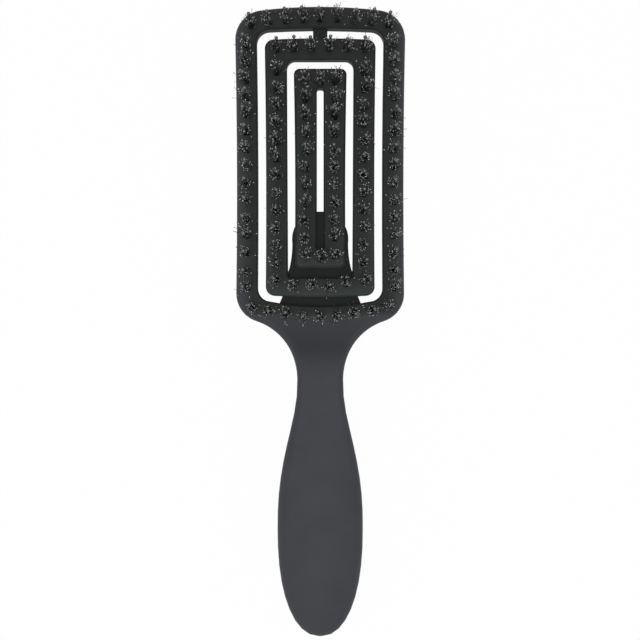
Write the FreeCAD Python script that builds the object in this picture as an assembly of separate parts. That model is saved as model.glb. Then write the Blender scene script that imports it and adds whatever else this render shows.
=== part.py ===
"""Vented paddle hairbrush, lying on its back with the bristles up.

X runs across the head, +Y from the handle to the head and +Z from the flat back to the bristle tips.
The origin is on the plane that the brush lies on, under the middle of its length. Lengths are in mm.
"""
import FreeCAD, Part
import math
import os

# Lengths along the brush, from the top of the head to the end of the tail
top_bar = 8.75
ring_window_length = 105.95
shoulder_length = 27.6
taper_length = 55.4
belly_length = 1.2
tail_length = 39.9

# Sections of the moulding
bar_width = 8.4
outer_bar_width = 8.3
tongue_bar_width = 8.4
outer_vent = 3.13
inner_vent = 2.65
slot_width = 2.55
plate_thickness = 4.0
edge_radius = 2.4
back_edge_bevel = 1.2
inner_edge_bevel = 0.5
back_relief = 0.3
overshoot = 1.0
match_tolerance = 0.01

# Outer ring
top_vent = 3.8
head_corner_radius = 11.2
head_arch_radius = 190.0
head_flare = 0.4
head_waist = 0.45
ring_flare = 0.4
ring_waist = 0.3
window_corner_radius = 5.0
vent_arch_radius = 350.0
bottom_arch_radius = 100.0
bottom_vent = 3.6

# Shoulder and neck
shoulder_corner_radius = 11.1
shoulder_radius = 23.1
neck_width = 17.2
neck_bottom = 0.8
neck_top = 11.2
rise_inset = 4.6

# Handle
belly_width = 32.1
belly_thickness = 14.2
belly_edge_radius = 5.0
belly_crown = 1.6
tail_plan_power = 2.24
tail_side_power = 2.6
tail_end_angle = 86.5
taper_lead = 0.52
taper_steps = 9
tail_steps = 9

# Middle ring
middle_top_bar = 8.25
middle_bottom_bar = 7.3
middle_corner_radius = 3.4
middle_window_radius = 3.2
middle_window_foot_radius = 0.8

# Centre tongue and the thin plate at its root
tongue_top_vent = 3.25
tongue_end_bar = 7.65
tongue_foot_bar = 7.55
tongue_corner_radius = 2.3
tongue_foot_radius = 2.0
tongue_edge_bevel = 0.8
slot_corner_radius = 0.8
slot_pocket_width = 3.7
trench_width = 3.75
web_thickness = 1.2
ramp_length = 21.7
ramp_shoulder = 12.0
ramp_neck_width = 4.2
ramp_shoulder_width = 21.4
ramp_foot_width = 23.6
ramp_waist = 0.3
hinge_flare = 2.3

# Links between the rings
top_bridge_width = 5.5
top_bridge_depth = 1.6
lower_web_top_width = 29.1
lower_web_foot_width = 32.2

# Tufts
tuft_sides = 4
socket_radius = 1.4
socket_depth = 2.7
bundle_root_radius = 1.05
bundle_tip_radius = 2.3
bristle_height = 11.8
anchor_width = 1.9
anchor_thickness = 0.4
anchor_height = 0.9
pin_sides = 4
pin_radius = 0.4
pin_ball_radius = 0.65
pin_ball_flat = 0.35
pin_height = 14.0
tuft_pitch = 6.5
outer_row_count = 9
outer_row_arch_radius = 150.0
outer_column_count = 15
outer_column_margin_top = 7.1
outer_column_margin_foot = 6.9
outer_row_inset_top = 5.7
outer_row_inset_foot = 3.5
middle_row_count = 6
middle_row_arch_radius = 62.0
middle_column_count = 12
middle_row_inset_top = 4.2
middle_row_inset_foot = 4.0
middle_column_margin_top = 13.4
middle_column_margin_foot = 12.8
tongue_column_count = 11
tongue_row_inset_top = 5.6
tongue_row_inset_foot = 4.4
tongue_foot_tuft_inset = 3.3

# Places that follow from the sizes above
tongue_half = slot_width / 2 + tongue_bar_width
middle_window_half = tongue_half + inner_vent
middle_half = middle_window_half + bar_width
ring_window_half = middle_half + outer_vent
head_half = ring_window_half + outer_bar_width
head_length = top_bar + ring_window_length + shoulder_length
handle_length = taper_length + belly_length + tail_length
head_top = (head_length + handle_length) / 2
ring_window_top = head_top - top_bar
ring_window_foot = ring_window_top - ring_window_length
neck_y = ring_window_foot - shoulder_length
belly_start_y = neck_y - taper_length
tail_start_y = belly_start_y - belly_length
rise_start_y = ring_window_foot - rise_inset
middle_top = ring_window_top - top_vent
middle_foot = ring_window_foot + bottom_vent
middle_window_top = middle_top - middle_top_bar
middle_window_foot = middle_foot + middle_bottom_bar
tongue_top = middle_window_top - tongue_top_vent
tongue_foot = middle_window_foot + trench_width
slot_top = tongue_top - tongue_end_bar
slot_foot = tongue_foot + tongue_foot_bar
web_top = back_relief + web_thickness
outer_bar_x = ring_window_half + outer_bar_width / 2
middle_bar_x = middle_window_half + bar_width / 2
tongue_bar_x = (slot_width + tongue_bar_width) / 2


def point(x, y, z=0.0):
    return FreeCAD.Vector(x, y, z)


def line(a, b):
    return Part.LineSegment(a, b).toShape()


def arc(a, middle, b):
    return Part.Arc(a, middle, b).toShape()


def mirrored(p):
    return point(-p.x, p.y, p.z)


def on_circle(centre, towards, radius):
    """The point at this radius from a centre, on the side of another point."""
    return centre + (towards - centre).normalize() * radius


def bend(centre, a, b):
    """The arc of one circle from a to b, the short way round."""
    radius = (a - centre).Length
    return arc(a, on_circle(centre, (a + b) * 0.5, radius), b)


def sag(x, radius):
    """How far an arch of this radius has fallen at x from its crown."""
    return radius - math.sqrt(radius * radius - x * x)


def end_arcs(half, end_y, radius, arch, up):
    """The corner, arch and corner that close one end of an outline, from its right side to its left."""
    side = 1 if up else -1
    if arch:
        crown_centre = point(0, end_y - side * arch)
        rise = math.sqrt((arch - radius) ** 2 - (half - radius) ** 2)
        corner = point(half - radius, crown_centre.y + side * rise)
        joint = corner + (corner - crown_centre).normalize() * radius
        top = bend(crown_centre, joint, mirrored(joint))
    else:
        corner = point(half - radius, end_y - side * radius)
        joint = point(corner.x, end_y)
        top = line(joint, mirrored(joint))
    start = point(half, corner.y)
    right = bend(corner, start, joint)
    left = bend(mirrored(corner), mirrored(joint), mirrored(start))
    return start, [right, top, left]


def long_side(foot, top, waist):
    """The long right side of an outline, straight or drawn in a little at its middle."""
    if waist == 0:
        return line(foot, top)
    return arc(foot, (foot + top) * 0.5 - point(waist, 0), top)


def rounded(half, foot, top, foot_radius, top_radius, foot_arch=0, top_arch=0, flare=0, waist=0):
    """A closed outline, even about the middle, with rounded corners and a top that may be wider."""
    top_start, top_edges = end_arcs(half + flare, top, top_radius, top_arch, True)
    foot_start, foot_edges = end_arcs(half, foot, foot_radius, foot_arch, False)
    right = long_side(foot_start, top_start, waist)
    left = right.mirror(point(0, 0), point(1, 0))
    return Part.Wire(Part.__sortEdges__([right, *top_edges, left, *foot_edges]))


def prism(wire, bottom, top):
    face = Part.Face(wire)
    face.translate(point(0, 0, bottom))
    return face.extrude(point(0, 0, top - bottom))


def block(half, foot, top, bottom, height):
    return Part.makeBox(2 * half, top - foot, height, point(-half, foot, bottom))


def trapezium(foot_half, top_half, foot, top, bottom, height):
    corners = [(-foot_half, foot), (foot_half, foot), (top_half, top), (-top_half, top)]
    points = [point(x, y) for x, y in [*corners, corners[0]]]
    return prism(Part.makePolygon(points), bottom, bottom + height)


def front_edges(solid, wire, z):
    """The edges of a solid that lie on a flat outline at one height."""
    raised = wire.copy()
    raised.translate(point(0, 0, z))
    found = []
    for edge in solid.Edges:
        middle = edge.valueAt((edge.FirstParameter + edge.LastParameter) / 2)
        flat = edge.BoundBox.ZLength < match_tolerance
        if flat and raised.distToShape(Part.Vertex(middle))[0] < match_tolerance:
            found.append(edge)
    return found


# Outlines shared by the pieces that meet along them
ring_window = rounded(
    ring_window_half,
    ring_window_foot,
    ring_window_top,
    window_corner_radius,
    window_corner_radius,
    bottom_arch_radius,
    vent_arch_radius,
    ring_flare,
    ring_waist,
)
middle_outline = rounded(
    middle_half,
    middle_foot,
    middle_top,
    middle_corner_radius,
    middle_corner_radius,
    vent_arch_radius,
    vent_arch_radius,
    ring_flare,
    ring_waist,
)
middle_window = rounded(
    middle_window_half,
    middle_window_foot,
    middle_window_top,
    middle_window_foot_radius,
    middle_window_radius,
    flare=ring_flare,
)
tongue_outline = rounded(
    tongue_half,
    tongue_foot,
    tongue_top,
    tongue_foot_radius,
    tongue_corner_radius,
    flare=ring_flare,
    waist=ring_waist,
)
slot_outline = rounded(
    slot_width / 2, slot_foot, slot_top, slot_corner_radius, slot_corner_radius
)
slot_pocket = rounded(
    slot_pocket_width / 2,
    slot_foot - inner_edge_bevel,
    tongue_foot + ramp_length,
    slot_corner_radius,
    slot_corner_radius,
)


def head_outline():
    """The head with its slightly hollow sides, its shoulders and the neck, closed across the neck."""
    top_start, top_edges = end_arcs(
        head_half + head_flare, head_top, head_corner_radius, head_arch_radius, True
    )
    neck_half = neck_width / 2
    shoulder = point(neck_half + shoulder_radius, neck_y)
    corner_x = head_half - shoulder_corner_radius
    reach = shoulder_radius + shoulder_corner_radius
    corner = point(corner_x, neck_y + math.sqrt(reach**2 - (shoulder.x - corner_x) ** 2))
    joint = on_circle(corner, shoulder, shoulder_corner_radius)
    start = point(head_half, corner.y)
    neck = point(neck_half, neck_y)
    right = [long_side(start, top_start, head_waist)]
    right += [bend(corner, joint, start), bend(shoulder, neck, joint)]
    left = [edge.mirror(point(0, 0), point(1, 0)) for edge in right]
    across = line(neck, mirrored(neck))
    return Part.Wire(Part.__sortEdges__([*right, *top_edges, *left, across]))


def ease(a, b):
    """Two equal arcs that lead level from a to level at b."""
    run = a.y - b.y
    rise = b.z - a.z
    radius = (run * run + rise * rise) / (4 * abs(rise))
    middle = (a + b) * 0.5
    side = math.copysign(radius, rise)
    first = bend(a + point(0, 0, side), a, middle)
    second = bend(b - point(0, 0, side), middle, b)
    return [first, second]


def head_slab():
    """A slab as thick as the head, which thickens towards the neck."""
    front = point(0, rise_start_y, plate_thickness)
    back = point(0, rise_start_y, 0)
    neck_front = point(0, neck_y, neck_top)
    neck_back = point(0, neck_y, neck_bottom)
    far_front = point(0, head_top + bar_width, plate_thickness)
    far_back = point(0, head_top + bar_width, 0)
    edges = [line(far_front, front), *ease(front, neck_front), line(neck_front, neck_back)]
    edges += [*ease(back, neck_back), line(back, far_back), line(far_back, far_front)]
    profile = Part.Face(Part.Wire(Part.__sortEdges__(edges)))
    reach = head_half + bar_width
    profile.translate(point(-reach, 0))
    return profile.extrude(point(2 * reach, 0))


def spread(count, first, last):
    return [first + i * (last - first) / (count - 1) for i in range(count)]


def smooth(t):
    return t**3 * (10 - 15 * t + 6 * t * t)


def oval(y, half, bottom, top, radius, crown):
    """One section of the handle: crowned front and back, rounded edges and short upright sides."""
    shoulder = radius + crown
    upright = (top - bottom) / 2 - shoulder
    middle = (bottom + top) / 2
    if crown > 0:
        crown_radius = ((half - radius) ** 2 + shoulder**2 - radius**2) / (2 * crown)
        share = radius / (crown_radius - radius)
        joint_x = (half - radius) * (1 + share)
        joint_z = (crown_radius - shoulder) * share
    else:
        joint_x = half - radius
        joint_z = radius
    edges = []
    for side in (1, -1):
        base = middle + side * upright
        centre = point(half - radius, y, base)
        joint = point(joint_x, y, base + side * joint_z)
        summit = point(0, y, base + side * shoulder)
        start = point(half, y, base)
        if crown > 0:
            edges.append(arc(mirrored(joint), summit, joint))
        else:
            edges.append(line(mirrored(joint), joint))
        edges.append(bend(centre, joint, start))
        edges.append(bend(mirrored(centre), mirrored(start), mirrored(joint)))
    for x in (half, -half):
        edges.append(line(point(x, y, middle - upright), point(x, y, middle + upright)))
    return Part.Wire(Part.__sortEdges__(edges))


def handle_sections():
    """Ovals from just below the neck, over the belly, to the end of the tail."""
    sections = []
    for step in spread(taper_steps + 1, 0, 1):
        t = smooth(step + taper_lead * step * (1 - step) ** 2)
        y = neck_y - step * taper_length
        half = (neck_width + t * (belly_width - neck_width)) / 2
        bottom = neck_bottom * (1 - t)
        top = neck_top + t * (belly_thickness - neck_top)
        radius = edge_radius + t * (belly_edge_radius - edge_radius)
        sections.append(oval(y, half, bottom, top, radius, t * belly_crown))
    for angle in spread(tail_steps + 1, 0, tail_end_angle):
        u = math.sin(math.radians(angle))
        plan = (1 - u**tail_plan_power) ** (1 / tail_plan_power)
        depth = (1 - u**tail_side_power) ** (1 / tail_side_power)
        y = tail_start_y - u * tail_length
        middle = belly_thickness / 2
        sections.append(
            oval(
                y,
                plan * belly_width / 2,
                middle * (1 - depth),
                middle * (1 + depth),
                depth * belly_edge_radius,
                depth * belly_crown,
            )
        )
    return sections


def lathe(rings, sides):
    """A faceted solid on the Z axis through rings of (radius, height), from the bottom up."""
    half_step = math.pi / sides

    def corners(radius, z):
        turns = [(2 * i + 1) * half_step for i in range(sides)]
        return [point(radius * math.cos(a), radius * math.sin(a), z) for a in turns]

    loops = [corners(radius, z) for radius, z in rings]
    faces = [Part.Face(Part.makePolygon([*loop, loop[0]])) for loop in (loops[0], loops[-1])]
    for low, high in zip(loops, loops[1:]):
        for i in range(sides):
            j = (i + 1) % sides
            quad = [low[i], low[j], high[j], high[i], low[i]]
            faces.append(Part.Face(Part.makePolygon(quad)))
    solid = Part.Solid(Part.makeShell(faces))
    if solid.Volume < 0:
        solid.reverse()
    return solid


def tuft_rows():
    """The places of the tufts, by the ring that carries them and the row they stand in."""
    row_x = [tuft_pitch * (i - (outer_row_count - 1) / 2) for i in range(outer_row_count)]
    top_y = head_top - outer_row_inset_top
    foot_y = ring_window_foot - outer_row_inset_foot
    column_top = ring_window_top - outer_column_margin_top
    column_foot = ring_window_foot + outer_column_margin_foot
    outer_y = spread(outer_column_count, column_foot, column_top)
    middle_x = spread(middle_row_count, -middle_bar_x, middle_bar_x)
    middle_top_y = middle_top - middle_row_inset_top
    middle_foot_y = middle_foot + middle_row_inset_foot
    middle_y = spread(
        middle_column_count,
        middle_foot + middle_column_margin_foot,
        middle_top - middle_column_margin_top,
    )
    tongue_top_y = tongue_top - tongue_row_inset_top
    tongue_y = spread(tongue_column_count, tongue_foot + tongue_row_inset_foot, tongue_top_y)
    return {
        "outer_top": [(x, top_y - sag(x, outer_row_arch_radius)) for x in row_x],
        "outer_bottom": [(x, foot_y + sag(x, bottom_arch_radius)) for x in row_x],
        "outer_left": [(-outer_bar_x, y) for y in outer_y],
        "outer_right": [(outer_bar_x, y) for y in outer_y],
        "middle_top": [(x, middle_top_y - sag(x, vent_arch_radius)) for x in middle_x],
        "middle_bottom": [(x, middle_foot_y + sag(x, middle_row_arch_radius)) for x in middle_x],
        "middle_left": [(-middle_bar_x, y) for y in middle_y],
        "middle_right": [(middle_bar_x, y) for y in middle_y],
        "tongue_left": [(-tongue_bar_x, y) for y in tongue_y],
        "tongue_right": [(tongue_bar_x, y) for y in tongue_y],
        "tongue_centre": [(0, tongue_top_y), (0, tongue_foot + tongue_foot_tuft_inset)],
    }


def group(solid, places):
    copies = []
    for x, y in places:
        copy = solid.copy()
        copy.translate(point(x, y))
        copies.append(copy)
    return Part.makeCompound(copies)


def socketed(solid, rows, ring):
    """Sinks a blind socket for each tuft into the front of one ring."""
    floor = plate_thickness - socket_depth
    socket = lathe([(socket_radius, floor), (socket_radius, plate_thickness + overshoot)], tuft_sides)
    places = [p for name, row in rows.items() if name.startswith(ring) for p in row]
    return solid.cut(group(socket, places)).Solids[0]


def rim_edges(head, outline, lowest, highest):
    """The edges of the head that follow its outline between two heights, without the neck's."""
    found = []
    for edge in head.Edges:
        middle = edge.valueAt((edge.FirstParameter + edge.LastParameter) / 2)
        on_rim = outline.distToShape(Part.Vertex(point(middle.x, middle.y)))[0] < match_tolerance
        upright = max(edge.BoundBox.XLength, edge.BoundBox.YLength) < match_tolerance
        below_neck = middle.y < neck_y + match_tolerance
        between = lowest - match_tolerance < middle.z < highest + match_tolerance
        if on_rim and between and not upright and not below_neck:
            found.append(edge)
    return found


def handle_frame(rows):
    outline = head_outline()
    head = head_slab().common(prism(outline, -overshoot, neck_top + overshoot)).Solids[0]
    head = head.makeFillet(edge_radius, rim_edges(head, outline, plate_thickness, neck_top))
    head = head.makeChamfer(back_edge_bevel, rim_edges(head, outline, 0, neck_bottom))
    neck_face = [f for f in head.Faces if abs(f.BoundBox.YMax - neck_y) < match_tolerance][0]
    handle = Part.makeLoft([neck_face.OuterWire, *handle_sections()[1:]], True, True)
    body = head.fuse(handle)
    body = body.cut(prism(ring_window, -overshoot, plate_thickness + overshoot)).Solids[0]
    body = body.makeChamfer(inner_edge_bevel, front_edges(body, ring_window, plate_thickness))
    return socketed(body, rows, "outer")


def middle_ring(rows):
    ring = prism(middle_outline, back_relief, plate_thickness)
    ring = ring.cut(prism(middle_window, -overshoot, plate_thickness + overshoot)).Solids[0]
    edges = front_edges(ring, middle_outline, plate_thickness)
    edges += front_edges(ring, middle_window, plate_thickness)
    return socketed(ring.makeChamfer(inner_edge_bevel, edges), rows, "middle")


def ramp_outline():
    """The thin root plate: arched behind the tongue, drawn in a little below and wider at the foot."""
    top = tongue_foot + ramp_length
    shoulder = top - ramp_shoulder
    start = point(ramp_neck_width / 2, top)
    wide = point(ramp_shoulder_width / 2, shoulder)
    flat = wide.x - start.x
    lean = point(start.x + flat * math.sqrt(0.5), shoulder + ramp_shoulder * math.sqrt(0.5))
    foot = point(ramp_foot_width / 2, tongue_foot)
    waist = (wide + foot) * 0.5 - point(ramp_waist, 0)
    right = [arc(start, lean, wide), arc(wide, waist, foot)]
    left = [edge.mirror(point(0, 0), point(1, 0)) for edge in right]
    across = [line(start, mirrored(start)), line(foot, mirrored(foot))]
    return Part.Wire(Part.__sortEdges__([*right, *left, *across]))


def centre_tongue(rows):
    tongue = prism(tongue_outline, back_relief, plate_thickness)
    tongue = tongue.cut(prism(slot_outline, -overshoot, plate_thickness + overshoot)).Solids[0]
    tongue = tongue.makeChamfer(
        tongue_edge_bevel, front_edges(tongue, tongue_outline, plate_thickness)
    )
    tongue = tongue.makeChamfer(inner_edge_bevel, front_edges(tongue, slot_outline, plate_thickness))
    tongue = tongue.cut(prism(slot_pocket, -overshoot, plate_thickness + overshoot)).Solids[0]
    tongue = tongue.fuse(prism(ramp_outline(), back_relief, web_top)).removeSplitter()
    return socketed(tongue.Solids[0], rows, "tongue")


def tongue_hinge():
    """The thin web at the root of the tongue, which spreads out to the sides of the window."""
    root = point(ramp_foot_width / 2, tongue_foot)
    spread_end = point(middle_window_half, middle_window_foot + hinge_flare)
    foot = point(middle_window_half, middle_window_foot)
    right = [root, spread_end, foot]
    left = [mirrored(p) for p in reversed(right)]
    web = prism(Part.makePolygon([*right, *left, root]), back_relief, web_top)
    return web.common(prism(middle_window, back_relief, web_top)).Solids[0]


def ring_gap():
    """The space between the outer ring's window and the middle ring."""
    window = prism(ring_window, back_relief, plate_thickness)
    return window.cut(prism(middle_outline, -overshoot, plate_thickness + overshoot))


def top_bridge():
    height = plate_thickness - top_bridge_depth - back_relief
    link = block(
        top_bridge_width / 2,
        middle_top - bar_width / 2,
        ring_window_top + bar_width / 2,
        back_relief,
        height,
    )
    return ring_gap().common(link).Solids[0]


def lower_web():
    link = trapezium(
        lower_web_foot_width / 2,
        lower_web_top_width / 2,
        ring_window_foot,
        middle_foot,
        back_relief,
        web_thickness,
    )
    margin = block(
        lower_web_foot_width / 2,
        ring_window_foot - bar_width / 2,
        ring_window_foot,
        back_relief,
        web_thickness,
    )
    cap = block(
        lower_web_top_width / 2, middle_foot, middle_foot + bar_width / 2, back_relief, web_thickness
    )
    return ring_gap().common(link.fuse([margin, cap])).Solids[0]


def bristle_bundle():
    root = plate_thickness - socket_depth + anchor_height
    return lathe(
        [(bundle_root_radius, root), (bundle_tip_radius, plate_thickness + bristle_height)],
        tuft_sides,
    )


def pin_tip():
    """The part of a pin that stands clear of the bristle tips, with its ball."""
    foot = plate_thickness + bristle_height
    top = plate_thickness + pin_height
    return lathe(
        [(pin_radius, foot), (pin_ball_radius, top - pin_ball_radius), (pin_ball_flat, top)],
        pin_sides,
    )


def anchor_plate():
    floor = plate_thickness - socket_depth
    corner = point(-anchor_width / 2, -anchor_thickness / 2, floor)
    return Part.makeBox(anchor_width, anchor_thickness, anchor_height, corner)


def main():
    rows = tuft_rows()
    parts = {
        "handle_frame": handle_frame(rows),
        "middle_ring": middle_ring(rows),
        "centre_tongue": centre_tongue(rows),
        "tongue_hinge": tongue_hinge(),
        "top_bridge": top_bridge(),
        "lower_web": lower_web(),
    }
    for row, places in rows.items():
        parts[row + "_bristles"] = group(bristle_bundle(), places)
        parts[row + "_pins"] = group(pin_tip(), places)
        parts[row + "_anchors"] = group(anchor_plate(), places)
    os.makedirs("parts", exist_ok=True)
    for name, shape in parts.items():
        shape.exportStep("parts/" + name + ".step")
        print(name, len(shape.Solids), "solids", shape.isValid(), round(shape.Volume, 2), "mm3")


main()
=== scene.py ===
"""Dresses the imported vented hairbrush: its moulding, hinge, bristle tufts, pins, anchors and stage.

X runs across the head, +Y from the handle to the head and +Z from the flat back to the bristle tips.
All lengths are in metres.
"""
import math
import random

import bmesh
import bpy
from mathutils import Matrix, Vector


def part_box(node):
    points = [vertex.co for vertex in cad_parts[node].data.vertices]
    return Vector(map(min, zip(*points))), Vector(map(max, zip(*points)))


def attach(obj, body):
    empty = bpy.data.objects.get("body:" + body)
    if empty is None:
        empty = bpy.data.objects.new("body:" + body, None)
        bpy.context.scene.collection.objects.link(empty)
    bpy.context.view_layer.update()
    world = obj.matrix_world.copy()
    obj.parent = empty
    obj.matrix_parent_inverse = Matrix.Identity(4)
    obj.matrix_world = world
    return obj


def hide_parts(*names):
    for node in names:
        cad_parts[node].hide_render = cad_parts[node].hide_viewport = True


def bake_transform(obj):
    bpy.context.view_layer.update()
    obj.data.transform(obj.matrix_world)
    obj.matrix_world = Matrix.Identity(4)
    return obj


bl_info = {
    "name": "Vented Hairbrush",
    "version": (1, 0, 0),
    "blender": (4, 5, 0),
    "location": "3D View > Sidebar > Hairbrush",
    "description": "Dresses a vented hairbrush with its finishes, bristles and pins",
    "category": "Object",
}

MM = 0.001
WHITE = (1.0, 1.0, 1.0, 1.0)
# Most values of a noise texture lie between these two.
NOISE_CORE = (0.3, 0.7)
RINGS = {"handle_frame": "frame", "middle_ring": "frame", "centre_tongue": "tongue"}
LINKS = ("top_bridge", "lower_web")
ROWS = (
    "outer_top",
    "outer_bottom",
    "outer_left",
    "outer_right",
    "middle_top",
    "middle_bottom",
    "middle_left",
    "middle_right",
    "tongue_left",
    "tongue_right",
    "tongue_centre",
)
BRISTLE_STEPS = (0.0, 0.3, 0.55, 0.75, 0.9, 1.0)

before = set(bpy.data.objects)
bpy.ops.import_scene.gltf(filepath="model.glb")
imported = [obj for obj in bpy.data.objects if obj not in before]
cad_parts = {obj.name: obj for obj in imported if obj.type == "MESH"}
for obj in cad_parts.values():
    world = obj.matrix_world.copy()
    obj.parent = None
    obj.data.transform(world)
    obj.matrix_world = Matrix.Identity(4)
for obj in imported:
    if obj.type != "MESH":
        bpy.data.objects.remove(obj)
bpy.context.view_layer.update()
plate_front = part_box("middle_ring")[1].z
socket_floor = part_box("outer_top_anchors")[0].z


def linear(code):
    """The linear colour of an sRGB hex value."""
    channels = [int(code[i : i + 2], 16) / 255 for i in (1, 3, 5)]
    return [c / 12.92 if c <= 0.04045 else ((c + 0.055) / 1.055) ** 2.4 for c in channels]


class TuftSettings(bpy.types.PropertyGroup):
    """Sizes of the bristle tufts and of the pin in each of them."""

    bristle_count: bpy.props.IntProperty(
        name="Bristles", description="Bristles in each tuft", default=60, min=1
    )
    bristle_width: bpy.props.FloatProperty(
        name="Bristle Width",
        description="Thickness of a bristle at its root",
        default=0.17 * MM,
        unit="LENGTH",
    )
    flag_width: bpy.props.FloatProperty(
        name="Flag Width",
        description="Width of the split end of a bristle",
        default=0.32 * MM,
        unit="LENGTH",
    )
    root_radius: bpy.props.FloatProperty(
        name="Root Radius",
        description="Radius of a tuft in its socket",
        default=0.9 * MM,
        unit="LENGTH",
    )
    tip_radius: bpy.props.FloatProperty(
        name="Tip Radius",
        description="Radius to which the bristle tips of a tuft fan out",
        default=2.4 * MM,
        unit="LENGTH",
    )
    stray_radius: bpy.props.FloatProperty(
        name="Stray Radius",
        description="How far from its tuft the tip of a stray bristle may stand",
        default=4.6 * MM,
        unit="LENGTH",
    )
    stray_share: bpy.props.FloatProperty(
        name="Stray Share",
        description="Share of the bristles that stray out of their tuft",
        default=0.05,
        subtype="FACTOR",
        min=0,
        max=1,
    )
    curl: bpy.props.FloatProperty(
        name="Curl",
        description="How far a bristle curls to one side of its lean",
        default=0.7 * MM,
        unit="LENGTH",
    )
    tuft_lean: bpy.props.FloatProperty(
        name="Tuft Lean",
        description="How far a tuft usually leans out of upright",
        default=math.radians(2.5),
        subtype="ANGLE",
    )
    pin_radius: bpy.props.FloatProperty(
        name="Pin Radius",
        description="Radius of a pin's shank",
        default=0.28 * MM,
        unit="LENGTH",
    )
    ball_radius: bpy.props.FloatProperty(
        name="Ball Radius",
        description="Radius of the ball on the end of a pin",
        default=0.7 * MM,
        unit="LENGTH",
    )
    pin_lean: bpy.props.FloatProperty(
        name="Pin Lean",
        description="How far a pin may lean out of upright",
        default=math.radians(2.5),
        subtype="ANGLE",
    )
    seed: bpy.props.IntProperty(
        name="Seed", description="Start of the random fan of the bristles", default=5
    )


class FinishSettings(bpy.types.PropertyGroup):
    """Colours of the finishes."""

    # Also the colour of the painted light over the head's outer rim.
    lacquer: bpy.props.FloatVectorProperty(
        name="Lacquer",
        description="Soft-touch lacquer of the handle",
        default=linear("#3c3e42"),
        subtype="COLOR",
        size=3,
    )
    moulding: bpy.props.FloatVectorProperty(
        name="Moulding",
        description="Bare plastic of the head",
        default=linear("#2a2e2c"),
        subtype="COLOR",
        size=3,
    )
    bristle: bpy.props.FloatVectorProperty(
        name="Bristle",
        description="Dyed length of a bristle",
        default=linear("#393a39"),
        subtype="COLOR",
        size=3,
    )
    # Near white partly as painted highlight on the split ends; the painted glints along the bristles
    # take this colour too.
    bristle_tip_and_glint: bpy.props.FloatVectorProperty(
        name="Bristle Tip",
        description="Split end of a bristle",
        default=linear("#ffffff"),
        subtype="COLOR",
        size=3,
    )
    pin: bpy.props.FloatVectorProperty(
        name="Pin",
        description="Nylon of the pins",
        default=linear("#333434"),
        subtype="COLOR",
        size=3,
    )
    # The paler colour of a pin ball's up-facing crown: a painted highlight.
    pin_highlight: bpy.props.FloatVectorProperty(
        name="Pin Crown",
        description="Dull crown of a pin's ball",
        default=linear("#616260"),
        subtype="COLOR",
        size=3,
    )
    anchor: bpy.props.FloatVectorProperty(
        name="Anchor",
        description="Steel of the tuft anchors",
        default=linear("#b4b6b8"),
        subtype="COLOR",
        size=3,
    )
    laminate: bpy.props.FloatVectorProperty(
        name="Laminate",
        description="White laminate of the table",
        default=linear("#f4f4f4"),
        subtype="COLOR",
        size=3,
    )


class StageSettings(bpy.types.PropertyGroup):
    """The camera and the light."""

    camera_distance: bpy.props.FloatProperty(
        name="Camera Distance",
        description="From the front of the head up to the camera",
        default=0.330,
        unit="LENGTH",
    )
    camera_shift: bpy.props.FloatVectorProperty(
        name="Camera Shift",
        description="Where the camera stands across and along the brush, from its middle",
        default=(-0.08 * MM, -0.5 * MM),
        unit="LENGTH",
        size=2,
    )
    view_size: bpy.props.FloatProperty(
        name="View Size",
        description="Width of the square picture on the front of the head",
        default=0.2435,
        unit="LENGTH",
    )
    ceiling_light: bpy.props.FloatProperty(
        name="Ceiling Light",
        description="Light of the ceiling, as a share of the white walls'",
        default=0.2,
        min=0,
    )
    softbox_power: bpy.props.FloatProperty(
        name="Softbox Power", description="Power of the lamp above", default=7.0, unit="POWER"
    )
    softbox_size: bpy.props.FloatProperty(
        name="Softbox Size", description="Width of the lamp above", default=0.8, unit="LENGTH"
    )


def add_node(tree, kind, options=None, values=None, links=None):
    """Adds a shader node with its options, socket values and links, and gives its outputs by name."""
    node = tree.nodes.new(kind)
    sockets = {socket.identifier: socket for socket in node.inputs}
    for name, option in (options or {}).items():
        setattr(node, name, option)
    for name, value in (values or {}).items():
        sockets[name].default_value = value
    for name, source in (links or {}).items():
        tree.links.new(source, sockets[name])
    return {socket.identifier: socket for socket in node.outputs}


def opaque(rgb):
    """A colour with full alpha, as the colour sockets take it."""
    return (*rgb, 1.0)


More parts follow.
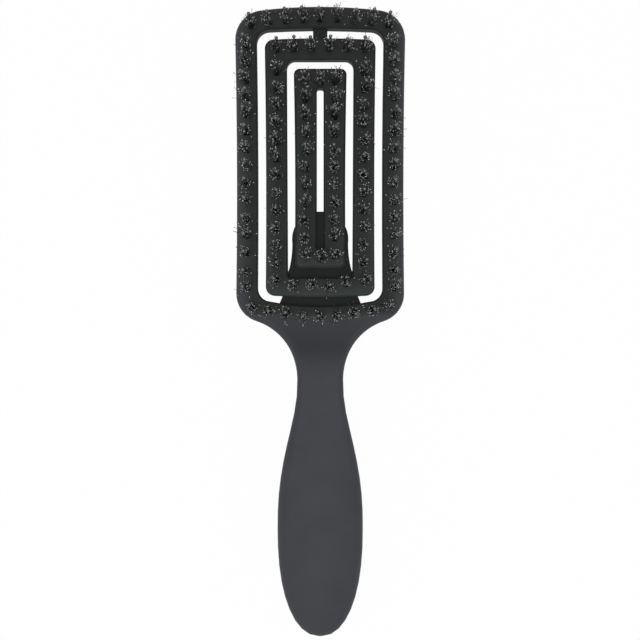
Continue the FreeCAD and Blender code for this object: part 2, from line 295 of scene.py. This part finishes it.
def painted_outward_light(tree, forward, aside):
    """How much painted light the rings get: most at the outward edge of each, where the tufts don't
    shade it, and less towards the top.

    The rings are alike, so a count from the middle of the head outwards, in steps of the distance from
    ring to ring, says how far across its ring a point is.
    """
    most = 0.8
    faded_at = 0.8
    pale_across = (0.35, 0.95)
    edge_margin = 0.5 * MM
    low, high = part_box("middle_ring")
    middle = (low + high) / 2
    half = (high - low) / 2
    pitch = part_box("handle_frame")[1].x - high.x
    next_ring = half.x + edge_margin
    offset = add_node(
        tree,
        "ShaderNodeMath",
        {"operation": "SUBTRACT"},
        {"Value_001": middle.y},
        {"Value": forward},
    )["Value"]
    away = add_node(tree, "ShaderNodeMath", {"operation": "ABSOLUTE"}, links={"Value": offset})["Value"]
    lengthwise = add_node(
        tree,
        "ShaderNodeMath",
        {"operation": "SUBTRACT"},
        {"Value_001": half.y - half.x},
        {"Value": away},
    )["Value"]
    outwards = add_node(
        tree,
        "ShaderNodeMath",
        {"operation": "MAXIMUM"},
        links={"Value": aside, "Value_001": lengthwise},
    )["Value"]
    count = add_node(
        tree,
        "ShaderNodeMapRange",
        {"clamp": False},
        {"From Min": next_ring - 2 * pitch, "From Max": next_ring - pitch},
        {"Value": outwards},
    )["Result"]
    across = add_node(tree, "ShaderNodeMath", {"operation": "FRACT"}, links={"Value": count})["Value"]
    reached = add_node(
        tree,
        "ShaderNodeMapRange",
        values={"From Min": pale_across[0], "From Max": pale_across[1]},
        links={"Value": across},
    )["Result"]
    strength = add_node(
        tree,
        "ShaderNodeMapRange",
        values={
            "From Min": -half.y,
            "From Max": faded_at * half.y,
            "To Min": most,
            "To Max": 0.0,
        },
        links={"Value": offset},
    )["Result"]
    return add_node(
        tree,
        "ShaderNodeMath",
        {"operation": "MULTIPLY"},
        links={"Value": reached, "Value_001": strength},
    )["Value"]


def soft_touch_abs(tree, finishes):
    """ABS, injection moulded, with soft-touch lacquer sprayed over the handle.

    The lacquer is a dull, even charcoal with a trace of blue. It ends just below the lowest tufts.
    Across the outer rim of the head the colour fades back to the lacquer's: painted light on the
    outward-facing rim. The bare plastic of the rings is darker and a little greener, with painted light
    along the outward side of each ring, where the tufts don't shade it. The sunken webs between the
    rings are darker still: painted shade of the recesses. Faint clouds in the tone keep large faces
    from looking flat, and a spray grain softens all reflections. The grain is drawn at 0.7 mm, coarser
    than the real one, so that it shows at all.
    """
    lacquer_end = (0.5 * MM, 2.8 * MM)
    # Across the outer rim the colour fades back to the lacquer's, as painted light on the
    # outward-facing rim.
    rim = (32 * MM, 26 * MM)
    # Painted shade: faces that look up from this far below the front of the rings are darkened by up to
    # this share, as the shade in the recesses.
    sunken = (plate_front - 0.8 * MM, plate_front - 2.5 * MM)
    recess_shade_strength = 0.57
    facing_up = (0.6, 0.9)
    cloud = 14 * MM
    cloud_shade = (0.94, 1.06)
    grain = 0.7 * MM
    grain_depth = 0.02 * MM
    grain_roughness = (0.5, 0.62)
    place = add_node(tree, "ShaderNodeTexCoord")["Object"]
    spot = add_node(tree, "ShaderNodeSeparateXYZ", links={"Vector": place})
    ahead = add_node(
        tree,
        "ShaderNodeMapRange",
        {"interpolation_type": "SMOOTHSTEP"},
        {"From Min": lacquer_end[0], "From Max": lacquer_end[1]},
        {"Value": spot["Y"]},
    )["Result"]
    aside = add_node(
        tree, "ShaderNodeMath", {"operation": "ABSOLUTE"}, links={"Value": spot["X"]}
    )["Value"]
    inside_rim_light = add_node(
        tree,
        "ShaderNodeMapRange",
        values={"From Min": rim[0], "From Max": rim[1]},
        links={"Value": aside},
    )["Result"]
    bare = add_node(
        tree, "ShaderNodeMath", {"operation": "MULTIPLY"}, links={"Value": ahead, "Value_001": inside_rim_light}
    )["Value"]
    tone = add_node(
        tree,
        "ShaderNodeMix",
        {"data_type": "RGBA"},
        {"A_Color": opaque(finishes.lacquer), "B_Color": opaque(finishes.moulding)},
        {"Factor_Float": bare},
    )["Result_Color"]
    clouds = add_node(
        tree,
        "ShaderNodeTexNoise",
        values={"Scale": 1 / cloud, "Detail": 3.0},
        links={"Vector": place},
    )["Fac"]
    shade = add_node(
        tree,
        "ShaderNodeMapRange",
        values={
            "From Min": NOISE_CORE[0],
            "From Max": NOISE_CORE[1],
            "To Min": cloud_shade[0],
            "To Max": cloud_shade[1],
        },
        links={"Value": clouds},
    )["Result"]
    low = add_node(
        tree,
        "ShaderNodeMapRange",
        values={"From Min": sunken[0], "From Max": sunken[1]},
        links={"Value": spot["Z"]},
    )["Result"]
    outward = add_node(tree, "ShaderNodeNewGeometry")["Normal"]
    upward = add_node(tree, "ShaderNodeSeparateXYZ", links={"Vector": outward})["Z"]
    level = add_node(
        tree,
        "ShaderNodeMapRange",
        values={"From Min": facing_up[0], "From Max": facing_up[1], "To Max": recess_shade_strength},
        links={"Value": upward},
    )["Result"]
    # Painted shade of the recesses.
    painted_recess_shade = add_node(
        tree, "ShaderNodeMath", {"operation": "MULTIPLY"}, links={"Value": low, "Value_001": level}
    )["Value"]
    # Keeps the painted light on the outward sides of the rings off the recesses.
    front = add_node(
        tree, "ShaderNodeMath", {"operation": "SUBTRACT"}, {"Value": 1.0}, {"Value_001": low}
    )["Value"]
    bare_front = add_node(
        tree, "ShaderNodeMath", {"operation": "MULTIPLY"}, links={"Value": bare, "Value_001": front}
    )["Value"]
    # Adds the painted light on the outward side of each ring to the clouds in the tone.
    paler = add_node(
        tree,
        "ShaderNodeMath",
        {"operation": "MULTIPLY_ADD"},
        links={
            "Value": painted_outward_light(tree, spot["Y"], aside),
            "Value_001": bare_front,
            "Value_002": shade,
        },
    )["Value"]
    # The clouds in the tone, with the painted light added and the painted shade of the recesses taken
    # off.
    left = add_node(
        tree, "ShaderNodeMath", {"operation": "SUBTRACT"}, links={"Value": paler, "Value_001": painted_recess_shade}
    )["Value"]
    tint = add_node(
        tree, "ShaderNodeVectorMath", {"operation": "SCALE"}, links={"Vector": tone, "Scale": left}
    )["Vector"]
    specks = add_node(
        tree,
        "ShaderNodeTexNoise",
        values={"Scale": 1 / grain, "Detail": 2.0},
        links={"Vector": place},
    )["Fac"]
    roughness = add_node(
        tree,
        "ShaderNodeMapRange",
        values={
            "From Min": NOISE_CORE[0],
            "From Max": NOISE_CORE[1],
            "To Min": grain_roughness[0],
            "To Max": grain_roughness[1],
        },
        links={"Value": specks},
    )["Result"]
    normal = add_node(
        tree,
        "ShaderNodeBump",
        values={"Strength": 0.25, "Distance": grain_depth},
        links={"Height": specks},
    )["Normal"]
    return add_node(
        tree,
        "ShaderNodeBsdfPrincipled",
        values={"IOR": 1.5, "Specular IOR Level": 0.12},
        links={"Base Color": tint, "Roughness": roughness, "Normal": normal},
    )["BSDF"]


def dyed_boar_bristle(tree, finishes):
    """Boar bristle, dyed black and trimmed.

    The length is a dark grey with a narrow gloss. Short pale streaks along the upper part of its length
    are painted glints, where a bristle would bend to the light. The last millimetre is split into fine
    flags, painted near white: partly their own paler colour and partly painted highlight, so the tips
    show as crisp grey specks. No two bristles took the dye alike, and many stay dark to the tip; the
    same share sets how much painted glint each shows. The glints are drawn 1.3 mm long and the bristles
    thicker than real ones, so that they show at all.
    """
    # Painted glints along the bristles: their length, the band of a noise where they show, how far
    # along the bristle they come in, and how pale they get.
    glint_length = 1.3 * MM
    glint_band = (0.48, 0.6)
    glint_along = (0.05, 0.5)
    glint_paleness = 0.2
    flag_along = (0.88, 1.0)
    gloss = (0.3, 0.5)
    place = add_node(tree, "ShaderNodeTexCoord")["Object"]
    along = add_node(tree, "ShaderNodeAttribute", {"attribute_name": "along"})["Fac"]
    dye = add_node(tree, "ShaderNodeAttribute", {"attribute_name": "dye"})["Fac"]
    flag = add_node(
        tree,
        "ShaderNodeMapRange",
        {"interpolation_type": "SMOOTHSTEP"},
        {"From Min": flag_along[0], "From Max": flag_along[1]},
        {"Value": along},
    )["Result"]
    glint_noise = add_node(
        tree,
        "ShaderNodeTexNoise",
        values={"Scale": 1 / glint_length, "Detail": 0.0},
        links={"Vector": place},
    )["Fac"]
    painted_glint = add_node(
        tree,
        "ShaderNodeMapRange",
        {"interpolation_type": "SMOOTHSTEP"},
        {"From Min": glint_band[0], "From Max": glint_band[1]},
        {"Value": glint_noise},
    )["Result"]
    upper = add_node(
        tree,
        "ShaderNodeMapRange",
        {"interpolation_type": "SMOOTHSTEP"},
        {
            "From Min": glint_along[0],
            "From Max": glint_along[1],
            "To Max": glint_paleness,
        },
        {"Value": along},
    )["Result"]
    painted_glints = add_node(
        tree, "ShaderNodeMath", {"operation": "MULTIPLY"}, links={"Value": painted_glint, "Value_001": upper}
    )["Value"]
    # The split tips, partly painted highlight, and the painted glints.
    flags_and_glints = add_node(
        tree, "ShaderNodeMath", {"operation": "MAXIMUM"}, links={"Value": painted_glints, "Value_001": flag}
    )["Value"]
    tip_and_glint_paleness = add_node(
        tree, "ShaderNodeMath", {"operation": "MULTIPLY"}, links={"Value": flags_and_glints, "Value_001": dye}
    )["Value"]
    tone = add_node(
        tree,
        "ShaderNodeMix",
        {"data_type": "RGBA"},
        {"A_Color": opaque(finishes.bristle), "B_Color": opaque(finishes.bristle_tip_and_glint)},
        {"Factor_Float": tip_and_glint_paleness},
    )["Result_Color"]
    roughness = add_node(
        tree,
        "ShaderNodeMapRange",
        values={"To Min": gloss[0], "To Max": gloss[1]},
        links={"Value": tip_and_glint_paleness},
    )["Result"]
    return add_node(
        tree,
        "ShaderNodeBsdfPrincipled",
        values={"IOR": 1.55, "Specular IOR Level": 0.3},
        links={"Base Color": tone, "Roughness": roughness},
    )["BSDF"]


def moulded_nylon(tree, finishes):
    """Nylon, moulded into pins with ball ends: black, smooth and glossy, with a faint waviness.

    The up-facing crown of each ball shows as a paler dot: a painted highlight.
    """
    wave = 0.9 * MM
    gloss = (0.2, 0.36)
    # Painted highlight: faces of a ball that look up this far are painted paler.
    crown = (0.75, 0.95)
    place = add_node(tree, "ShaderNodeTexCoord")["Object"]
    waves = add_node(
        tree, "ShaderNodeTexNoise", values={"Scale": 1 / wave}, links={"Vector": place}
    )["Fac"]
    roughness = add_node(
        tree,
        "ShaderNodeMapRange",
        values={"To Min": gloss[0], "To Max": gloss[1]},
        links={"Value": waves},
    )["Result"]
    outward = add_node(tree, "ShaderNodeNewGeometry")["Normal"]
    upward = add_node(tree, "ShaderNodeSeparateXYZ", links={"Vector": outward})["Z"]
    painted_highlight = add_node(
        tree,
        "ShaderNodeMapRange",
        values={"From Min": crown[0], "From Max": crown[1]},
        links={"Value": upward},
    )["Result"]
    tone = add_node(
        tree,
        "ShaderNodeMix",
        {"data_type": "RGBA"},
        {"A_Color": opaque(finishes.pin), "B_Color": opaque(finishes.pin_highlight)},
        {"Factor_Float": painted_highlight},
    )["Result_Color"]
    return add_node(
        tree,
        "ShaderNodeBsdfPrincipled",
        values={"IOR": 1.53},
        links={"Base Color": tone, "Roughness": roughness},
    )["BSDF"]


def drawn_steel(tree, finishes):
    """Steel strip, drawn and cut into anchors: pale grey metal with fine lines along the strip."""
    line_pitch = 0.12 * MM
    along_strip = (0.1, 1.0, 1.0)
    gloss = (0.25, 0.5)
    place = add_node(tree, "ShaderNodeTexCoord")["Object"]
    stretched = add_node(
        tree,
        "ShaderNodeMapping",
        values={"Scale": along_strip},
        links={"Vector": place},
    )["Vector"]
    lines = add_node(
        tree,
        "ShaderNodeTexNoise",
        values={"Scale": 1 / line_pitch},
        links={"Vector": stretched},
    )["Fac"]
    roughness = add_node(
        tree,
        "ShaderNodeMapRange",
        values={"To Min": gloss[0], "To Max": gloss[1]},
        links={"Value": lines},
    )["Result"]
    return add_node(
        tree,
        "ShaderNodeBsdfPrincipled",
        values={"Base Color": opaque(finishes.anchor), "Metallic": 1.0},
        links={"Roughness": roughness},
    )["BSDF"]


def finish(recipe):
    """The material that a recipe makes, made the first time that it is asked for."""
    name = recipe.__name__
    if name in bpy.data.materials:
        return bpy.data.materials[name]
    material = bpy.data.materials.new(name)
    material.use_nodes = True
    tree = material.node_tree
    tree.nodes.clear()
    surface = recipe(tree, bpy.context.scene.brush_finishes)
    add_node(tree, "ShaderNodeOutputMaterial", links={"Surface": surface})
    return material


def coat(mesh, recipe):
    """Gives a mesh a finish in place of any other, and leaves its shape alone."""
    mesh.materials.clear()
    mesh.materials.append(finish(recipe))


def new_piece(name, mesh, recipe):
    """Puts a mesh into the scene as a piece with a finish."""
    coat(mesh, recipe)
    piece = bpy.data.objects.new(name, mesh)
    bpy.context.scene.collection.objects.link(piece)
    return piece


def body_of_row(row):
    """The body that carries a row of tufts."""
    return "tongue" if row.startswith("tongue") else "frame"


def tuft_spots(row):
    """Where the tufts of a row stand: the middles of its pins."""
    apart = 2.5 * MM
    pins = []
    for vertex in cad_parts[row + "_pins"].data.vertices:
        spot = vertex.co.xy
        near = [pin for pin in pins if (pin[0] - spot).length < apart]
        if near:
            near[0].append(spot)
        else:
            pins.append([spot])
    return [sum(pin, Vector((0, 0))) / len(pin) for pin in pins]


def welded(node):
    """A copy of a node's shape with its faces joined up."""
    weld = 0.002 * MM
    shape = bmesh.new()
    shape.from_mesh(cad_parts[node].data)
    bmesh.ops.remove_doubles(shape, verts=shape.verts, dist=weld)
    return shape


def plain_mesh(name, shape):
    """A mesh with only the corners and faces of a shape."""
    shape.verts.index_update()
    corners = [tuple(vertex.co) for vertex in shape.verts]
    faces = [[vertex.index for vertex in face.verts] for face in shape.faces]
    shape.free()
    mesh = bpy.data.meshes.new(name)
    mesh.from_pydata(corners, [], faces)
    return mesh


def skin_mesh(node):
    """A node's skin, over which light runs smoothly round the rounded edges."""
    crease = math.radians(38)
    mesh = plain_mesh(node + "_skin", welded(node))
    mesh.shade_smooth()
    mesh.set_sharp_from_angle(angle=crease)
    return mesh


def tube_faces(first, rings, sides):
    """The faces round a tube and over its end, for rings of points whose numbers follow each other."""
    faces = []
    for ring in range(rings - 1):
        low = first + ring * sides
        for side in range(sides):
            after = (side + 1) % sides
            faces.append((low + side, low + after, low + sides + after, low + sides + side))
    last = first + (rings - 1) * sides
    faces.append(range(last, last + sides))
    return faces


def bristle(rng, tufts, spot, lean, root_z, tip_z):
    """The middle line of a bristle that leans out and curls, with each point's share of its length."""
    fan = (0.7, 1.15)
    trim = (0.45, 1.01)
    stray_trim = (0.8, 0.97)
    half_waves = (0.5, 1.5)
    bow = 1.3
    turn = rng.uniform(0, 2 * math.pi)
    reach = math.sqrt(rng.random())
    root = reach * tufts.root_radius
    tip = reach * tufts.tip_radius * rng.uniform(*fan)
    height = (tip_z - root_z) * rng.uniform(*trim)
    if rng.random() < tufts.stray_share:
        tip = rng.uniform(tufts.tip_radius, tufts.stray_radius)
        height *= rng.uniform(*stray_trim)
    out = Vector((math.cos(turn), math.sin(turn)))
    aside = Vector((-out.y, out.x)) * rng.gauss(0, tufts.curl)
    twist = rng.uniform(*half_waves) * math.pi
    line = []
    for along in BRISTLE_STEPS:
        flat = spot + out * (root + (tip - root) * along**bow) + aside * math.sin(twist * along)
        flat += lean * along * height
        line.append((along, Vector((flat.x, flat.y, root_z + along * height))))
    return line


def bristle_mesh(row, tufts):
    """All bristles of a row as thin tapered tubes, with their share of length and dye per point."""
    sides = 3
    taper = 0.3
    dye_power = 2.25
    rng = random.Random(tufts.seed + ROWS.index(row))
    root_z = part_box(row + "_bristles")[0].z
    tip_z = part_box(row + "_bristles")[1].z
    points = []
    faces = []
    alongs = []
    dyes = []
    for spot in tuft_spots(row):
        lean = Vector((rng.gauss(0, 1), rng.gauss(0, 1))) * math.tan(tufts.tuft_lean)
        for _ in range(tufts.bristle_count):
            # Each bristle's share of dye, which also sets how bright its painted glints and tip
            # highlight are.
            dye = rng.random() ** dye_power
            line = bristle(rng, tufts, spot, lean, root_z, tip_z)
            faces += tube_faces(len(points), len(line), sides)
            for along, middle in line:
                width = tufts.flag_width if along == 1 else tufts.bristle_width * (1 - taper * along)
                for side in range(sides):
                    angle = 2 * math.pi * side / sides
                    out = Vector((math.cos(angle), math.sin(angle), 0))
                    points.append(middle + out * width / 2)
                    alongs.append(along)
                    dyes.append(dye)
    mesh = bpy.data.meshes.new(row + "_boar_bristles")
    mesh.from_pydata(points, [], faces)
    mesh.attributes.new("along", "FLOAT", "POINT").data.foreach_set("value", alongs)
    mesh.attributes.new("dye", "FLOAT", "POINT").data.foreach_set("value", dyes)
    mesh.shade_smooth()
    return mesh


def pin_profile(tufts, top_z):
    """Radius and height of a pin's rings: a straight shank that ends in a ball."""
    foot = socket_floor + 1.2 * MM
    crown = math.radians(78)
    steps = 6
    centre = top_z - tufts.ball_radius
    neck = math.acos(tufts.pin_radius / tufts.ball_radius)
    rings = [(tufts.pin_radius, foot)]
    for step in range(steps + 1):
        angle = -neck + step * (neck + crown) / steps
        radius = tufts.ball_radius * math.cos(angle)
        rings.append((radius, centre + tufts.ball_radius * math.sin(angle)))
    return rings


def pin_mesh(row, tufts):
    """All pins of a row, each leaning a little its own way."""
    sides = 10
    rng = random.Random(tufts.seed + len(ROWS) + ROWS.index(row))
    top_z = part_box(row + "_pins")[1].z
    profile = pin_profile(tufts, top_z)
    points = []
    faces = []
    for spot in tuft_spots(row):
        lean = Vector((rng.uniform(-1, 1), rng.uniform(-1, 1))) * math.tan(tufts.pin_lean)
        faces += tube_faces(len(points), len(profile), sides)
        for radius, z in profile:
            middle = spot + lean * max(z - plate_front, 0)
            for side in range(sides):
                angle = 2 * math.pi * side / sides
                x = middle.x + radius * math.cos(angle)
                y = middle.y + radius * math.sin(angle)
                points.append((x, y, z))
    mesh = bpy.data.meshes.new(row + "_ball_pins")
    mesh.from_pydata(points, [], faces)
    mesh.shade_smooth()
    return mesh


def hinge_mesh():
    """The thin web at the tongue's root, cut into rows along it so that it can bend."""
    steps = 10
    low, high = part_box("tongue_hinge")
    shape = welded("tongue_hinge")
    for step in range(1, steps):
        cut = low.lerp(high, step / steps)
        everything = [*shape.verts, *shape.edges, *shape.faces]
        bmesh.ops.bisect_plane(shape, geom=everything, plane_co=cut, plane_no=(0, 1, 0))
    return plain_mesh("living_hinge", shape)


class BRUSH_OT_moulding(bpy.types.Operator):
    """Finish the handle, the rings and the links between them"""

    bl_idname = "brush.moulding"
    bl_label = "Moulding"

    def execute(self, context):
        for node, body in RINGS.items():
            piece = new_piece(node + "_skin", skin_mesh(node), soft_touch_abs)
            even = piece.modifiers.new("even_normals", "WEIGHTED_NORMAL")
            even.keep_sharp = True
            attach(piece, body)
            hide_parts(node)
        for node in LINKS:
            coat(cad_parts[node].data, soft_touch_abs)
        return {"FINISHED"}


class BRUSH_OT_hinge(bpy.types.Operator):
    """Make the living hinge that the tongue bends on"""

    bl_idname = "brush.hinge"
    bl_label = "Living Hinge"

    def execute(self, context):
        piece = new_piece("living_hinge", hinge_mesh(), soft_touch_abs)
        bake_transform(piece)
        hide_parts("tongue_hinge")
        return {"FINISHED"}


class BRUSH_OT_bristles(bpy.types.Operator):
    """Make the bristle tufts of every row"""

    bl_idname = "brush.bristles"
    bl_label = "Bristles"

    def execute(self, context):
        for row in ROWS:
            mesh = bristle_mesh(row, context.scene.brush_tufts)
            piece = new_piece(row + "_boar_bristles", mesh, dyed_boar_bristle)
            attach(piece, body_of_row(row))
            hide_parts(row + "_bristles")
        return {"FINISHED"}


class BRUSH_OT_pins(bpy.types.Operator):
    """Make the ball-ended pin in the middle of every tuft"""

    bl_idname = "brush.pins"
    bl_label = "Pins"

    def execute(self, context):
        for row in ROWS:
            mesh = pin_mesh(row, context.scene.brush_tufts)
            piece = new_piece(row + "_ball_pins", mesh, moulded_nylon)
            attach(piece, body_of_row(row))
            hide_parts(row + "_pins")
        return {"FINISHED"}


class BRUSH_OT_anchors(bpy.types.Operator):
    """Finish the steel anchors at the roots of the tufts"""

    bl_idname = "brush.anchors"
    bl_label = "Anchors"

    def execute(self, context):
        for row in ROWS:
            coat(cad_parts[row + "_anchors"].data, drawn_steel)
        return {"FINISHED"}


def seen_ray(tree):
    """1 for rays from the camera and those that mirrors and glass show, 0 for those that only light."""
    path = add_node(tree, "ShaderNodeLightPath")
    seen = path["Is Camera Ray"]
    for kind in ("Is Glossy Ray", "Is Transmission Ray"):
        links = {"Value": seen, "Value_001": path[kind]}
        seen = add_node(tree, "ShaderNodeMath", {"operation": "MAXIMUM"}, links=links)["Value"]
    return seen


def white_laminate(tree, finishes):
    """White laminate, pressed: seen nearly full white, with a trace of light and shadow left on it."""
    whiteness = 0.97
    show = add_node(
        tree,
        "ShaderNodeMath",
        {"operation": "MULTIPLY"},
        {"Value_001": whiteness},
        {"Value": seen_ray(tree)},
    )["Value"]
    sheet = add_node(tree, "ShaderNodeBsdfDiffuse", values={"Color": opaque(finishes.laminate)})
    glow = add_node(tree, "ShaderNodeEmission", values={"Color": WHITE, "Strength": 1.0})
    return add_node(
        tree,
        "ShaderNodeMixShader",
        links={"Fac": show, "Shader": sheet["BSDF"], "Shader_001": glow["Emission"]},
    )["Shader"]


def add_floor():
    """A white table, so far below that the tongue stays clear of it when it is pushed back."""
    reach = 3.0
    gap = 8.5 * MM
    flat = [(-reach, -reach), (reach, -reach), (reach, reach), (-reach, reach)]
    corners = [(x, y, -gap) for x, y in flat]
    mesh = bpy.data.meshes.new("table")
    mesh.from_pydata(corners, [], [(0, 1, 2, 3)])
    coat(mesh, white_laminate)
    floor = bpy.data.objects.new("table", mesh)
    bpy.context.scene.collection.objects.link(floor)


def add_room(stage):
    """A room with white walls and a darker ceiling, so that edges are lighter than hollows.

    The camera and all reflections see plain white all round.
    """
    world = bpy.data.worlds.new("white_room")
    world.use_nodes = True
    tree = world.node_tree
    tree.nodes.clear()
    towards = add_node(tree, "ShaderNodeTexCoord")["Generated"]
    height = add_node(tree, "ShaderNodeSeparateXYZ", links={"Vector": towards})["Z"]
    light = add_node(
        tree,
        "ShaderNodeMapRange",
        values={"To Min": 1.0, "To Max": stage.ceiling_light},
        links={"Value": height},
    )["Result"]
    strength = add_node(
        tree,
        "ShaderNodeMath",
        {"operation": "MAXIMUM"},
        links={"Value": light, "Value_001": seen_ray(tree)},
    )["Value"]
    sky = add_node(
        tree, "ShaderNodeBackground", values={"Color": WHITE}, links={"Strength": strength}
    )["Background"]
    add_node(tree, "ShaderNodeOutputWorld", links={"Surface": sky})
    bpy.context.scene.world = world


def add_softbox(stage):
    """A wide lamp above, a little to the left and towards the handle, that faces the brush."""
    place = Vector((-0.08, -0.22, 1.08))
    lamp = bpy.data.lights.new("softbox", "AREA")
    lamp.energy = stage.softbox_power
    lamp.size = stage.softbox_size
    softbox = bpy.data.objects.new("softbox", lamp)
    softbox.location = place
    softbox.rotation_euler = (-place).to_track_quat("-Z", "Y").to_euler()
    bpy.context.scene.collection.objects.link(softbox)


def add_camera(stage):
    """A camera straight above that looks down on the brush."""
    lens = bpy.data.cameras.new("camera")
    lens.sensor_fit = "HORIZONTAL"
    lens.lens = lens.sensor_width * stage.camera_distance / stage.view_size
    lens.clip_start = 0.01
    camera = bpy.data.objects.new("camera", lens)
    camera.location = (*stage.camera_shift, plate_front + stage.camera_distance)
    bpy.context.scene.collection.objects.link(camera)
    bpy.context.scene.camera = camera


class BRUSH_OT_stage(bpy.types.Operator):
    """Set up the table, the light and the camera"""

    bl_idname = "brush.stage"
    bl_label = "Stage"

    def execute(self, context):
        stage = context.scene.brush_stage
        context.scene.view_settings.view_transform = "Standard"
        add_floor()
        add_room(stage)
        add_softbox(stage)
        add_camera(stage)
        return {"FINISHED"}


PIECES = (
    BRUSH_OT_moulding,
    BRUSH_OT_hinge,
    BRUSH_OT_bristles,
    BRUSH_OT_pins,
    BRUSH_OT_anchors,
    BRUSH_OT_stage,
)
GROUPS = {
    "brush_tufts": TuftSettings,
    "brush_finishes": FinishSettings,
    "brush_stage": StageSettings,
}


class BRUSH_PT_sidebar(bpy.types.Panel):
    """Settings and steps of the hairbrush"""

    bl_label = "Hairbrush"
    bl_space_type = "VIEW_3D"
    bl_region_type = "UI"
    bl_category = "Hairbrush"

    def draw(self, context):
        for operator in PIECES:
            self.layout.operator(operator.bl_idname)
        for name, group in GROUPS.items():
            box = self.layout.box()
            for setting in group.__annotations__:
                box.prop(getattr(context.scene, name), setting)


def register():
    for item in (*GROUPS.values(), *PIECES, BRUSH_PT_sidebar):
        bpy.utils.register_class(item)
    for name, group in GROUPS.items():
        setattr(bpy.types.Scene, name, bpy.props.PointerProperty(type=group))


def unregister():
    for name in GROUPS:
        delattr(bpy.types.Scene, name)
    for item in (BRUSH_PT_sidebar, *reversed(PIECES), *reversed(GROUPS.values())):
        bpy.utils.unregister_class(item)


def main():
    register()
    bpy.ops.brush.moulding()
    bpy.ops.brush.hinge()
    bpy.ops.brush.bristles()
    bpy.ops.brush.pins()
    bpy.ops.brush.anchors()
    bpy.ops.brush.stage()


if __name__ == "__main__":
    main()
